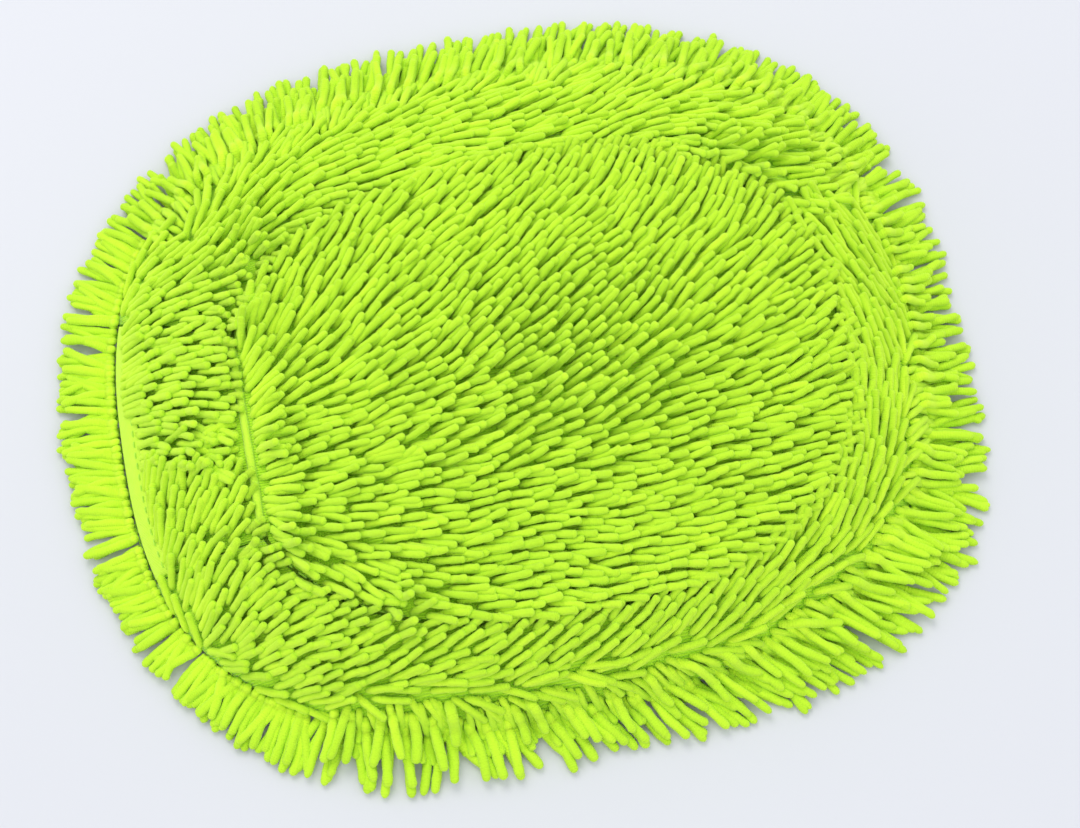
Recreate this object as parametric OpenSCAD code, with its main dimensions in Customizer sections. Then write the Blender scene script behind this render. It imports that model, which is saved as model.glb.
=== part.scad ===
// Gusseted chenille wash mitt, lying face up on its back panel.
// +X runs from the wrist end to the toe end, +Z up, and the origin is on the
// table under the middle of the fringe. All lengths are in millimetres.

/* [Outline] */
// Length over the fringe, wrist end to toe end
overall_l = 312; // [296:2:330]
// Width over the fringe
overall_w = 268; // [256:2:280]
// How far the fringe reaches past the hem
fringe_reach = 20; // [14:1:22]
// Squareness of the hem outline, 2 being an ellipse
hem_square = 2.6; // [2.4:0.1:2.8]

/* [Face] */
// Length of the face panel, seam to seam
face_l = 199; // [190:1:206]
// Width of the face panel, seam to seam
face_w = 158; // [150:1:164]
// Squareness of the face outline, 2 being an ellipse
face_square = 2.4; // [2.2:0.1:2.6]
// How much of the outline's wrist end the straight wrist seam cuts off
wrist_cut = 7; // [5:1:9]
// How far the face has slumped towards the toe
slump_x = 8; // [0:1:10]
// How far the face has slumped to one side
slump_y = -10; // [-12:1:0]

/* [Heights] */
// Height of the face seam above the table
seam_z = 26; // [24:1:30]
// How far the middle of the face stands above its seam
crown = 3; // [1:0.5:5]
// Depth of the noodle pile where it is deepest
pile_t = 10; // [8:1:12]
// Height of the lining over the table, which is the roof of the hand pocket
lining_z = 16.8; // [15:0.2:17.4]

/* [Cloth] */
// Thickness of the chenille's backing cloth
cloth_t = 1.5; // [1:0.1:1.8]
// Thickness of the plain knit of the back panel
knit_t = 1.2; // [0.8:0.1:1.2]
// Thickness of the pocket lining
lining_t = 0.8; // [0.5:0.1:1]
// Thickness of the binding tape
tape_t = 0.6; // [0.4:0.1:0.7]

/* [Wrist opening] */
// Half of the angle that the wrist flap spans about the middle of the mitt
flap_half = 19.5; // [16:0.5:20]
// Angle left open between the flap and each end of the side band
flap_gap = 0.7; // [0.6:0.1:1]

/* [Hidden] */

lime = [0.62, 0.90, 0.12];
lime_cloth = [0.50, 0.78, 0.10];
lime_tape = [0.56, 0.84, 0.14];
foam_grey = [0.86, 0.87, 0.84];

gap = 0.15;                         // clearance between cloths that lie on each other
ring_steps = 72;                    // points round each closed outline
strip_steps = 6;                    // points up each gusset strip
band_steps = 64;                    // sections along the side band
flap_steps = 10;                    // sections along the wrist flap

hem_a = overall_l / 2 - fringe_reach;
hem_b = overall_w / 2 - fringe_reach;
face_a = face_l / 2;
face_b = face_w / 2;
binding_top = knit_t + gap + tape_t;
hem_z = binding_top + 0.3;          // lower edge of the gusset
bulge = 0.35;                       // 0 for a straight gusset, 1 for a quarter round
band_half = 180 - flap_half - flap_gap / 2;
flap_from = 180 - flap_half + flap_gap / 2;
flap_to = 180 + flap_half - flap_gap / 2;

// ---- outlines and surfaces ----

// Point of a superellipse in the direction p, with half axes a and b and squareness n.
function oval(p, a, b, n) =
    let (r = pow(pow(abs(cos(p)) / a, n) + pow(abs(sin(p)) / b, n), -1 / n))
    [r * cos(p), r * sin(p)];

// Hem line, where the gusset meets the back panel, moved outwards by out.
function hem_pt(p, out = 0) = oval(p, hem_a + out, hem_b + out, hem_square);

// Face seam: an oval with a straight side at the wrist end, at a share k of its size.
function face_pt(p, k = 1) =
    let (a = cos(p) < 0 ? face_a + wrist_cut : face_a,
         o = oval(p, a, face_b, face_square),
         shrink = o[0] < -face_a ? face_a / -o[0] : 1)
    [k * shrink * o[0] + slump_x, k * shrink * o[1] + slump_y];

function mix(a, b, k) = a + (b - a) * k;
function lift(q, z) = [q[0], q[1], z];

// Inner side of the gusset cloth, at the share s of the way from the hem to the face seam.
function gusset(p, s) =
    let (inward = mix(s, 1 - cos(90 * s), bulge),
         upward = mix(s, sin(90 * s), bulge),
         q = mix(hem_pt(p), face_pt(p), inward))
    [q[0], q[1], mix(hem_z, seam_z, upward)];

// Outward unit normal of the gusset.
function gusset_out(p, s) =
    let (along = gusset(p + 0.5, s) - gusset(p - 0.5, s),
         up = gusset(p, s + 0.01) - gusset(p, s - 0.01),
         n = cross(along, up))
    n / norm(n);

function off_gusset(p, s, d) = gusset(p, s) + d * gusset_out(p, s);

// Cross-section of a layer on the gusset, from the depth low(s) to the depth high(s).
function strip_section(p, s0, s1, low, high, fade = 1) =
    let (at = [for (i = [0 : strip_steps]) mix(s0, s1, i / strip_steps)])
    concat(
        [for (i = [strip_steps : -1 : 0]) off_gusset(p, at[i], low + fade * (high(at[i]) - low))],
        [for (i = [0 : strip_steps]) off_gusset(p, at[i], low)]);

// Height of the inner side of the face cloth at the share k from its middle to its seam.
function face_z(k) = seam_z + crown * (1 - k * k);

function face_ring(k, z) =
    [for (i = [0 : ring_steps - 1]) let (q = face_pt(i * 360 / ring_steps, k)) [q[0], q[1], z]];

// Where the gusset's pile starts and ends above the cloth, at the share s. It is thin towards
// the hem and the face seam.
pile_base = cloth_t + 2.5 * gap;
pile_top = function (s)
    pile_base + pile_t * 0.9 * min(1, (s - 0.06) / 0.22, (1.06 - s) / 0.3);

// Depth of the face's pile at the share k. It is thin towards the seam, which leaves a valley.
function pile_on_face(k) = pile_t * min(1, (1.02 - k) / 0.12);

// Skin through loops of equal length. The ends are capped, or joined if wrap is true.
module skin(loops, wrap = false) {
    n = len(loops[0]);
    m = len(loops);
    sides = [
        for (i = [0 : m - (wrap ? 1 : 2)]) for (j = [0 : n - 1])
            let (a = i * n + j, b = i * n + (j + 1) % n,
                 c = ((i + 1) % m) * n + (j + 1) % n, d = ((i + 1) % m) * n + j)
                each [[a, c, b], [a, d, c]]
    ];
    caps = wrap ? [] : [[for (j = [0 : n - 1]) j], [for (j = [n - 1 : -1 : 0]) (m - 1) * n + j]];
    polyhedron([for (l = loops) each l], concat(sides, caps), convexity = 8);
}

// Ring round the hem with the given section, a list of [distance out, height].
module hem_ring(section) {
    skin([for (i = [0 : ring_steps - 1]) let (p = i * 360 / ring_steps)
        [for (q = section) let (h = hem_pt(p, q[0])) [h[0], h[1], q[1]]]], wrap = true);
}

// Layer on the gusset between the angles p0 and p1, thinner within fade_span of its ends.
module gusset_strip(p0, p1, steps, s0, s1, low, high, fade_span = 0) {
    skin([for (i = [0 : steps]) let (p = mix(p0, p1, i / steps),
            fade = fade_span == 0 ? 1 : min(1, 0.35 + min(p - p0, p1 - p) / fade_span))
        strip_section(p, s0, s1, low, high, fade)]);
}

// Thread under the gusset cloth at the angle p, from the share s0 to the share s1.
module edge_thread(p, s0, s1) {
    half_w = 0.25;                  // as an angle
    half_t = 0.5;
    middle = -0.7;                  // depth of its centre line
    runs = 6;
    sides = 8;
    skin([for (i = [0 : runs])
        [for (j = [0 : sides - 1]) let (a = j * 360 / sides)
            off_gusset(p + half_w * cos(a), mix(s0, s1, i / runs), middle + half_t * sin(a))]]);
}

// Short straight run of thread from a to b.
module stitch(a, b, r = 0.3) {
    v = b - a;
    translate(a) rotate([0, acos(v[2] / norm(v)), atan2(v[1], v[0])])
        cylinder(h = norm(v), r = r, $fn = 16);
}

// ---- the base ----

module back_panel() {
    color(lime_cloth) linear_extrude(knit_t)
        polygon([for (i = [0 : ring_steps - 1]) hem_pt(i * 360 / ring_steps, -0.3)]);
}

// Tape that is folded over the edge of the back panel from inside.
module hem_binding() {
    lap = 8;
    foot = 0.3;
    color(lime_tape) hem_ring([
        [0, foot], [0, knit_t + gap], [-lap, knit_t + gap],
        [-lap, binding_top], [tape_t, binding_top], [tape_t, foot]
    ]);
}

// Room that the outermost noodles take where they lie on the table.
module hem_fringe() {
    root = tape_t + 1;
    color(lime) hem_ring([
        [root, 0], [root, 6], [fringe_reach * 0.5, 7], [fringe_reach * 0.9, 5],
        [fringe_reach, 2], [fringe_reach - 0.6, 0]
    ]);
}

module hem_stitches() {
    count = 150;
    out = tape_t + 0.4;
    height = 1.2;
    color(lime_tape) for (i = [0 : count - 1]) {
        p = i * 360 / count;
        stitch(lift(hem_pt(p - 0.75, out), height), lift(hem_pt(p + 0.75, out), height));
    }
}

// Strip that backs the edge of the back panel across the mouth of the pocket.
module mouth_facing() {
    half = flap_half - 1.5;
    depth = 12;
    low = binding_top + gap;
    color(lime_tape) skin([for (i = [0 : flap_steps])
        let (p = 180 - half + i * 2 * half / flap_steps, near = hem_pt(p, -2), far = hem_pt(p, -2 - depth))
        [lift(far, low + tape_t), lift(near, low + tape_t), lift(near, low), lift(far, low)]]);
}

// ---- the gusset ----

module side_band() {
    color(lime_cloth) gusset_strip(-band_half, band_half, band_steps, 0, 0.99, 0, function (s) cloth_t);
}

module side_band_pile() {
    color(lime) gusset_strip(-band_half, band_half, band_steps, 0.12, 0.95,
        pile_base, pile_top, fade_span = 6);
}

// Overlocked thread along the two ends of the band, under the cloth.
module band_end_tapes() {
    color(lime_tape) for (p = [-band_half + 0.5, band_half - 0.5])
        edge_thread(p, 0.08, 0.94);
}

// ---- the face ----

module face_panel() {
    shares = [0.995, 0.9, 0.75, 0.5, 0.25, 0.04];
    n = len(shares);
    color(lime_cloth) skin(concat(
        [for (i = [n - 1 : -1 : 0]) face_ring(shares[i], face_z(shares[i]))],
        [for (k = shares) face_ring(k, face_z(k) + cloth_t)]));
}

module face_pile() {
    shares = [0.975, 0.94, 0.9, 0.75, 0.5, 0.25, 0.04];
    n = len(shares);
    color(lime) skin(concat(
        [for (i = [n - 1 : -1 : 0]) face_ring(shares[i], face_z(shares[i]) + cloth_t + gap)],
        [for (k = shares) face_ring(k, face_z(k) + cloth_t + gap + pile_on_face(k))]));
}

// Tape on the inside of the face seam, open where the wrist flap turns.
module face_seam_tape() {
    low = seam_z - 2.2;
    span = band_half - 2;
    color(lime_tape) skin([for (i = [0 : band_steps])
        let (p = mix(-span, span, i / band_steps), near = face_pt(p, 0.965), far = face_pt(p, 1.015))
        [lift(near, low + tape_t), lift(far, low + tape_t), lift(far, low), lift(near, low)]]);
}

module face_seam_stitches() {
    count = 110;
    height = seam_z + cloth_t + 0.45;
    color(lime_tape) for (i = [0 : count - 1]) {
        p = i * 360 / count;
        if (abs(p - 180) > flap_half + 1) {
            a = face_pt(p - 1, 0.998);
            b = face_pt(p + 1, 0.998);
            stitch(lift(a, height), lift(b, height));
        }
    }
}

// Soft foam between the face cloth and the lining, thinned towards its edge.
module foam_pad() {
    base = lining_z + lining_t + gap;
    color(foam_grey) skin(concat(
        [face_ring(1.04, base), face_ring(1.05, base + 2), face_ring(0.96, seam_z - 2.6)],
        [for (k = [0.945, 0.9, 0.75, 0.5, 0.25, 0.04]) face_ring(k, face_z(k) - 0.4)]));
}

module palm_lining() {
    color(lime_tape) translate([0, 0, lining_z]) linear_extrude(lining_t)
        polygon([for (i = [0 : ring_steps - 1]) face_pt(i * 360 / ring_steps, 1.06)]);
}

// ---- the wrist flap ----

flap_low = 0.08;                    // share of the gusset at which the flap's cloth starts
hem_lap = 0.24;                     // share up to which its hem binding reaches

module wrist_panel() {
    color(lime_cloth) gusset_strip(flap_from, flap_to, flap_steps, flap_low, 0.975, 0, function (s) cloth_t);
}

module wrist_panel_pile() {
    color(lime) gusset_strip(flap_from, flap_to, flap_steps, hem_lap + 0.02, 0.93,
        pile_base, pile_top, fade_span = 6);
}

// Tape folded round the lower edge of the flap's cloth.
module wrist_hem_binding() {
    fold = flap_low - 0.015;
    section = [
        [hem_lap, -gap - tape_t], [fold - 0.015, -gap - tape_t],
        [fold - 0.015, cloth_t + gap + tape_t], [hem_lap, cloth_t + gap + tape_t],
        [hem_lap, cloth_t + gap], [fold, cloth_t + gap], [fold, -gap], [hem_lap, -gap]
    ];
    color(lime_tape) skin([for (i = [0 : flap_steps])
        let (p = mix(flap_from, flap_to, i / flap_steps))
        [for (q = section) off_gusset(p, q[0], q[1])]]);
}

// Overlocked thread along the two side edges of the flap, under the cloth.
module wrist_side_tapes() {
    color(lime_tape) for (p = [flap_from + 0.5, flap_to - 0.5])
        edge_thread(p, hem_lap + 0.04, 0.9);
}

module wrist_hem_stitches() {
    count = 22;
    r = 0.25;
    depth = cloth_t + gap + tape_t + r + 0.05;
    at = hem_lap - 0.05;
    color(lime_tape) for (i = [0 : count - 1]) {
        p = mix(flap_from + 1, flap_to - 1, i / (count - 1));
        stitch(off_gusset(p - 0.5, at, depth), off_gusset(p + 0.5, at, depth), r);
    }
}

back_panel();
hem_binding();
hem_fringe();
hem_stitches();
mouth_facing();
side_band();
side_band_pile();
band_end_tapes();
face_panel();
face_pile();
face_seam_tape();
face_seam_stitches();
foam_pad();
palm_lining();
wrist_panel();
wrist_panel_pile();
wrist_hem_binding();
wrist_side_tapes();
wrist_hem_stitches();
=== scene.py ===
"""A gusseted chenille wash mitt, lying face up on a pale table.

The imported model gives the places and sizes. This script makes what shows: about 3700 chenille
noodles, the cloths that they are sewn to, the foam, tapes and threads, and a plain studio.
Lengths are in metres, +X is the toe end, -X the wrist end and +Z is up.
"""

import math

import bmesh
import bpy
import numpy as np
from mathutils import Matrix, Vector
from mathutils.bvhtree import BVHTree


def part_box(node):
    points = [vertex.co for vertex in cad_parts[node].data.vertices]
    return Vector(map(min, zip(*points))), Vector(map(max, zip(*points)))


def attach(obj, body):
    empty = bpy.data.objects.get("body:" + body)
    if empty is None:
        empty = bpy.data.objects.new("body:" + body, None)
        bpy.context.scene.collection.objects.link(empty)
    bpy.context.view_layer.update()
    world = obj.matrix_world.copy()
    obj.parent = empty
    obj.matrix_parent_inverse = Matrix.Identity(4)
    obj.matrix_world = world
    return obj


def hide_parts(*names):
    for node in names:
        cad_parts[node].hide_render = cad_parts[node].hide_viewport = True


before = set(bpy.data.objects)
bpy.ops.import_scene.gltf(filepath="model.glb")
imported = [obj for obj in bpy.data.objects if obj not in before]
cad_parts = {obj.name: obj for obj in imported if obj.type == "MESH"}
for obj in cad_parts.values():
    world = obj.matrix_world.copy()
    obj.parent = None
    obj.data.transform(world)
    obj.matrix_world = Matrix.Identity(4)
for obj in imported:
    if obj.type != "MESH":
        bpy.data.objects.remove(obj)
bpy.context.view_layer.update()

MM = 0.001
UP = np.array([0.0, 0.0, 1.0])

# ---- noodles ----
NOODLE_R = 1.3 * MM
NOODLE_L = 13.5 * MM
ROW = 6.8 * MM                   # root to root along the nap
PITCH = 3.15 * MM                # root to root across the nap
SIDES = 8                        # sides of a noodle or thread
LIE = 17                         # degrees between a noodle and the cloth under it
FRINGE_L = 20.3 * MM
FRINGE_PITCH = 3.3 * MM          # root to root along a row of the fringe
FRINGE_WIDE = 1.19               # thickness of a noodle in the fringe, as a share of the others'

# ---- cloth ----
CLOTH_T = 1.5 * MM
HEM_SQUARE = 2.6                 # squareness of the hem outline, 2 being an ellipse
FACE_SQUARE = 2.4
WRIST_CUT = 7 * MM               # what the straight wrist seam cuts off the face's oval
BULGE = 0.35                     # 0 for a straight gusset, 1 for a quarter round
FLAP_HALF = math.radians(19.5)   # half of the angle that the wrist flap spans
FLAP_GAP = math.radians(0.7)

# ---- where the noodles were brushed: x and y in millimetres, and the direction in degrees ----
FACE_BRUSHED = [
    # from the wrist end to the toe
    (-84, -46, -42), (-80, -56, -55), (-72, -64, -44), (-58, -72, -24), (-76, -44, -16), (-74, -34, -4),
    (-76, -18, -2), (-78, -4, 4), (-74, 8, 18), (-83, 12, 50), (-82, 26, 54), (-72, 36, 46), (-66, 22, 36),
    (-50, 42, 36), (-52, -58, -12), (-38, -68, -14), (-38, -45, -6), (-45, -20, 3), (-45, 8, 22),
    (-45, 24, 30), (-20, 48, 32), (-20, 30, 26), (0, -72, -10), (0, -45, -8), (-10, -22, 2), (-10, 12, 24),
    (20, 48, 32), (40, -75, -6), (40, -50, -6), (22, -15, 14), (25, 12, 25), (50, 45, 46), (30, 58, 44),
    (75, -50, -4), (55, -22, 8), (60, 12, 33), (78, 36, 46), (68, 56, 48), (92, -28, 11), (98, -42, 2),
    (97, 0, 18), (94, 24, 38),
]
BAND_BRUSHED = [
    # the toe
    (120, 14, 125), (122, 1, 122), (120, -13, 118), (118, -24, 110), (114, -35, 102), (108, -47, 96),
    (103, -56, 90), (112, -48, 82), (120, -40, 75), (122, -46, 68), (111, -59, 80), (111, -68, 75),
    (100, -74, 72), (93, -72, 68), (117, -61, 56), (124, -55, 40), (133, -40, 25), (124, -63, 22),
    (110, -77, 28), (101, -82, 14), (87, -85, 58), (77, -87, 55), (69, -93, 52), (84, -91, 15),
    # the near side
    (57, -92, 53), (44, -94, 54), (33, -98, 50), (20, -96, 50), (14, -101, 38), (-11, -96, 22),
    (-36, -93, 13), (-56, -92, 11), (-48, -100, 8), (-26, -106, 16), (0, -108, 16), (18, -105, 17),
    (31, -106, 4), (47, -105, 9), (62, -102, 20), (77, -97, 20), (86, -99, 7), (0, -116, 16),
    (18, -115, -6), (-15, -112, -8), (-40, -107, -11), (39, -112, -7), (60, -110, 0), (-65, -97, 11),
    # round the wrist end of the near side
    (-77, -84, 6), (-91, -76, 7), (-105, -78, 7), (-87, -88, 6), (-103, -70, 6), (-110, -62, 36),
    (-103, -56, 38), (-114, -56, 43), (-89, -52, -60), (-86, -95, -8), (-70, -102, -22), (-95, -90, -3),
    # the wrist panel
    (-130, -44, 78), (-126, -45, 68), (-128, -33, 80), (-124, -29, 72), (-119, -35, 60), (-114, -38, 49),
    (-109, -43, 38), (-105, -49, 36), (-120, -48, 52), (-134, -22, 84), (-124, 40, -3),
    (-134, 42, -4), (-134, 26, -10), (-134, 8, -16), (-112, 31, -7),
    (-100, 26, -8), (-126, 26, -8), (-113, 17, -11), (-100, 8, -15), (-124, 12, -17), (-110, 6, -24),
    (-122, 4, -29), (-113, -1, -32), (-120, -5, -44), (-107, -6, -50),
    # the far side
    (-120, 60, 13), (-108, 55, 7), (-120, 49, -3), (-105, 44, -6), (-91, 42, -17), (-83, 44, -33),
    (-88, 34, -34), (-80, 36, -54), (-95, 68, 50), (-103, 63, 41), (-93, 62, 32), (-84, 67, 21),
    (-73, 57, 8), (-74, 90, 29), (-64, 89, 19), (-84, 79, 37), (-70, 70, 0), (-57, 69, -11),
    (-46, 63, -21), (-33, 58, -11), (-47, 88, 7), (-30, 83, 2), (-12, 89, -2), (4, 78, -3),
    (-15, 73, -7), (22, 84, 3), (23, 70, -8), (39, 78, 12), (51, 86, 29), (54, 68, -2), (72, 83, 4),
    (81, 75, -25), (67, 61, -46), (75, 53, -31), (89, 67, -25), (102, 65, -3), (101, 50, 4),
    (87, 44, -39),
]
BRUSH_REACH = 8.5 * MM

# ---- where the noodles are tangled: x, y and radius in millimetres ----
TANGLES = [
    (-112, -9, 10), (-97, -12, 8), (-95, 22, 7), (-86, 54, 10), (-92, -46, 7), (-58, -78, 8), (98, 60, 12),
    (76, 62, 8), (112, 44, 10),
]


def span(node):
    """Middle and half size of a node's box."""
    low, high = (np.array(c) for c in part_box(node))
    return (low + high) / 2, (high - low) / 2


back_half = span("back_panel")[1]
face_mid, face_half = span("face_panel")
HEM_A, HEM_B = back_half[0] + 0.3 * MM, back_half[1] + 0.3 * MM
FACE_A, FACE_B = face_half[0] / 0.995, face_half[1] / 0.995
SLUMP = face_mid[:2]
HEM_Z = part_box("side_band")[0].z
SEAM_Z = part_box("face_panel")[0].z
CROWN = 2 * face_half[2] - CLOTH_T
HINGE_X = SLUMP[0] - FACE_A


# ---- shapes that the pieces share ----

def mix(a, b, k):
    return a + (b - a) * k


def smooth(x, low, high):
    """0 below low, 1 above high, and smooth between them."""
    k = np.clip((x - low) / (high - low), 0, 1)
    return k * k * (3 - 2 * k)


def unit(v):
    return v / np.maximum(np.linalg.norm(v, axis=-1, keepdims=True), 1e-12)


def oval(angle, a, b, square):
    c, s = np.cos(angle), np.sin(angle)
    r = (np.abs(c / a) ** square + np.abs(s / b) ** square) ** (-1 / square)
    return r * c, r * s


def hem_line(angle, out=0.0):
    """The hem's outline, moved out."""
    x, y = oval(angle, HEM_A + out, HEM_B + out, HEM_SQUARE)
    return np.stack([x, y], axis=-1)


def face_line(angle, share=1.0):
    """The face seam's outline at a share of its size. Its wrist end is straight."""
    a = np.where(np.cos(angle) < 0, FACE_A + WRIST_CUT, FACE_A)
    x, y = oval(angle, a, FACE_B, FACE_SQUARE)
    cut = np.where(x < -FACE_A, FACE_A / np.maximum(-x, 1e-9), 1.0)
    return np.stack([share * cut * x, share * cut * y], axis=-1) + SLUMP


def gusset(angle, s):
    """A point of the gusset's inner side, at the share s of the way from hem to face seam."""
    inward = mix(s, 1 - np.cos(s * math.pi / 2), BULGE)
    upward = mix(s, np.sin(s * math.pi / 2), BULGE)
    plan = mix(hem_line(angle), face_line(angle), inward[..., None])
    return np.concatenate([plan, mix(HEM_Z, SEAM_Z, upward)[..., None]], axis=-1)


def gusset_slopes(angle, s):
    """How the gusset's point moves with angle and with s, and its outward normal."""
    da, ds = 0.004, 0.004
    along = (gusset(angle + da, s) - gusset(angle - da, s)) / (2 * da)
    upward = (gusset(angle, s + ds) - gusset(angle, s - ds)) / (2 * ds)
    return along, upward, unit(np.cross(along, upward))


def off_gusset(angle, s, depth):
    angle, s = np.broadcast_arrays(np.asarray(angle, float), np.asarray(s, float))
    depth = np.asarray(depth, float)[..., None]
    return gusset(angle, s) + depth * gusset_slopes(angle, s)[2]


def ripple(x, y, reach, seed):
    """Smooth unevenness from -1 to 1 with waves about as long as reach."""
    rng = np.random.default_rng(seed)
    total = 0.0
    for _ in range(6):
        turn, phase = rng.uniform(0, 2 * math.pi, 2)
        wave = 2 * math.pi / (reach * rng.uniform(0.7, 1.5))
        total = total + np.sin(wave * (x * math.cos(turn) + y * math.sin(turn)) + phase)
    return total / 3.5


def tangle(x, y):
    """How tangled the noodles are at a point, from 0 to 1."""
    near = [np.exp(-((x / MM - a) ** 2 + (y / MM - b) ** 2) / (2 * r * r)) for a, b, r in TANGLES]
    return np.clip(sum(near), 0, 1)


def brushed(plan, strokes):
    """Direction in plan in which strokes have laid the noodles at each point."""
    strokes = np.array(strokes, float)
    turn = np.radians(strokes[:, 2])
    away = ((plan[:, None] - strokes[:, :2] * MM) ** 2).sum(2)
    away -= away.min(axis=1, keepdims=True)
    weight = np.exp(-away / (2 * BRUSH_REACH ** 2))
    return unit(np.stack([(weight * np.cos(turn)).sum(1), (weight * np.sin(turn)).sum(1)], axis=-1))


def outward(angle):
    """Direction in plan in which the fringe lies: away from the hem and leaning to the toe."""
    step = hem_line(angle + 0.01) - hem_line(angle - 0.01)
    normal = unit(np.stack([step[..., 1], -step[..., 0]], axis=-1))
    far = np.sin(angle) > 0
    lean = np.where(far, 0.6, 0.52) + np.where(far, 0.2, 0.75) * np.cos(angle)
    return unit(normal + np.stack([lean * np.sin(angle) ** 2, 0.08 + 0 * lean], axis=-1))


def turned(plan, by):
    """Directions in plan, turned to the left by angles."""
    plan = unit(plan)
    c, s = np.cos(by), np.sin(by)
    return np.stack([plan[:, 0] * c - plan[:, 1] * s, plan[:, 0] * s + plan[:, 1] * c], axis=-1)


def on_surface(plan, normal):
    """A direction in plan laid on a surface with the given normal."""
    level = np.concatenate([plan, np.zeros((len(plan), 1))], axis=1)
    return unit(level - (level * normal).sum(1, keepdims=True) * normal)


# ---- meshes ----

def add_object(name, points, faces):
    mesh = bpy.data.meshes.new(name)
    mesh.from_pydata(np.asarray(points, float).tolist(), [], faces)
    mesh.shade_smooth()
    obj = bpy.data.objects.new(name, mesh)
    bpy.context.scene.collection.objects.link(obj)
    return obj


def add_skin(name, points, faces):
    """An object whose faces are turned to look outwards."""
    obj = add_object(name, points, faces)
    obj.data.validate()
    work = bmesh.new()
    work.from_mesh(obj.data)
    bmesh.ops.recalc_face_normals(work, faces=work.faces)
    work.to_mesh(obj.data)
    work.free()
    obj.data.shade_smooth()
    return obj


def tubes(name, lines, radii, side, tone):
    """Round tubes along lines of N x R points. The first and last point of a line close its ends.
    side is a direction across each line, and tone a shade for each tube from 0 to 1."""
    count, steps = lines.shape[:2]
    ahead = unit(np.gradient(lines, axis=1))
    across = unit(side[:, None] - (side[:, None] * ahead).sum(-1, keepdims=True) * ahead)
    over = np.cross(ahead, across)
    turn = np.arange(SIDES) * 2 * math.pi / SIDES
    ring = across[:, 1:-1, None] * np.cos(turn)[:, None] + over[:, 1:-1, None] * np.sin(turn)[:, None]
    ring = lines[:, 1:-1, None] + radii[:, 1:-1, None, None] * ring
    rings = steps - 2
    points = np.concatenate([lines[:, :1], ring.reshape(count, rings * SIDES, 3), lines[:, -1:]], axis=1)
    each = rings * SIDES + 2
    j = np.arange(SIDES)
    k = (j + 1) % SIDES
    row = np.arange(rings - 1)[:, None] * SIDES + 1
    quads = np.stack([row + j, row + k, row + k + SIDES, row + j + SIDES], axis=-1).reshape(-1, 4)
    last = each - 1
    root = np.stack([np.zeros(SIDES, int), k + 1, j + 1], axis=-1)
    tip = np.stack([np.full(SIDES, last), last - SIDES + j, last - SIDES + k], axis=-1)
    shift = (np.arange(count) * each)[:, None, None]
    faces = (quads + shift).reshape(-1, 4).tolist()
    faces += (root + shift).reshape(-1, 3).tolist() + (tip + shift).reshape(-1, 3).tolist()

    obj = add_object(name, points.reshape(-1, 3), faces)
    length = np.cumsum(np.linalg.norm(np.diff(lines[0], axis=0), axis=1)) / MM
    along = np.repeat(np.concatenate([[0.0], length / length[-1]]), [1] + [SIDES] * rings + [1])
    for label, values in (("tone", np.repeat(tone, each)), ("along", np.tile(along, count))):
        data = obj.data.attributes.new(label, "FLOAT", "POINT").data
        data.foreach_set("value", values.astype(np.float32))
    return obj


def slab(name, top, bottom):
    """Cloth between two grids of M x N points."""
    rows, columns = top.shape[:2]
    under = rows * columns
    faces = []
    for a in range(0, under - columns, columns):
        b = a + columns
        for j in range(columns - 1):
            faces.append((a + j, b + j, b + j + 1, a + j + 1))
            faces.append((under + a + j, under + a + j + 1, under + b + j + 1, under + b + j))
        for j in (0, columns - 1):
            faces.append((a + j, b + j, under + b + j, under + a + j))
    for a in (0, under - columns):
        for j in range(columns - 1):
            faces.append((a + j, a + j + 1, under + a + j + 1, under + a + j))
    return add_skin(name, np.concatenate([top.reshape(-1, 3), bottom.reshape(-1, 3)]), faces)


def disc(name, outline, shares, top, bottom, steps=180):
    """Cloth or foam inside an outline. top and bottom give its heights at x and y."""
    angle = np.arange(steps) * 2 * math.pi / steps
    middle = outline(angle, 1e-6).mean(0)
    layers = []
    for height in (top, bottom):
        rings = [outline(angle, share) for share in shares]
        plan = np.concatenate([middle[None], *rings])
        layers.append(np.column_stack([plan, height(plan[:, 0], plan[:, 1])]))
    under = len(layers[0])
    faces = []
    for j in range(steps):
        k = (j + 1) % steps
        faces.append((0, 1 + j, 1 + k))
        faces.append((under, under + 1 + k, under + 1 + j))
        for i in range(len(shares) - 1):
            a, b = 1 + i * steps, 1 + (i + 1) * steps
            faces.append((a + j, b + j, b + k, a + k))
            faces.append((under + a + j, under + a + k, under + b + k, under + b + j))
        rim = 1 + (len(shares) - 1) * steps
        faces.append((rim + j, under + rim + j, under + rim + k, rim + k))
    return add_skin(name, np.concatenate(layers), faces)


def belt(name, sections, wrap=False):
    """A closed skin through M sections of N points each."""
    rows, columns = sections.shape[:2]
    faces = []
    for i in range(rows if wrap else rows - 1):
        a, b = i * columns, (i + 1) % rows * columns
        for j in range(columns):
            k = (j + 1) % columns
            faces.append((a + j, a + k, b + k, b + j))
    if not wrap:
        faces.append(tuple(range(columns)))
        faces.append(tuple(range((rows - 1) * columns, rows * columns)))
    return add_skin(name, sections.reshape(-1, 3), faces)


# ---- noodles ----

# Places along a noodle, and its radius there as a share of its own. The tip is round.
NOODLE_AT = np.array(
    [0, 0.01, 0.07, 0.15, 0.24, 0.34, 0.45, 0.56, 0.67, 0.78, 0.87, 0.927, 0.958, 0.982, 0.996, 1])
NOODLE_WIDE = np.array([0, 0.7, 0.9, 0.98, 1, 1, 1, 1, 1, 1, 1, 0.98, 0.86, 0.6, 0.3, 0])


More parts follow.
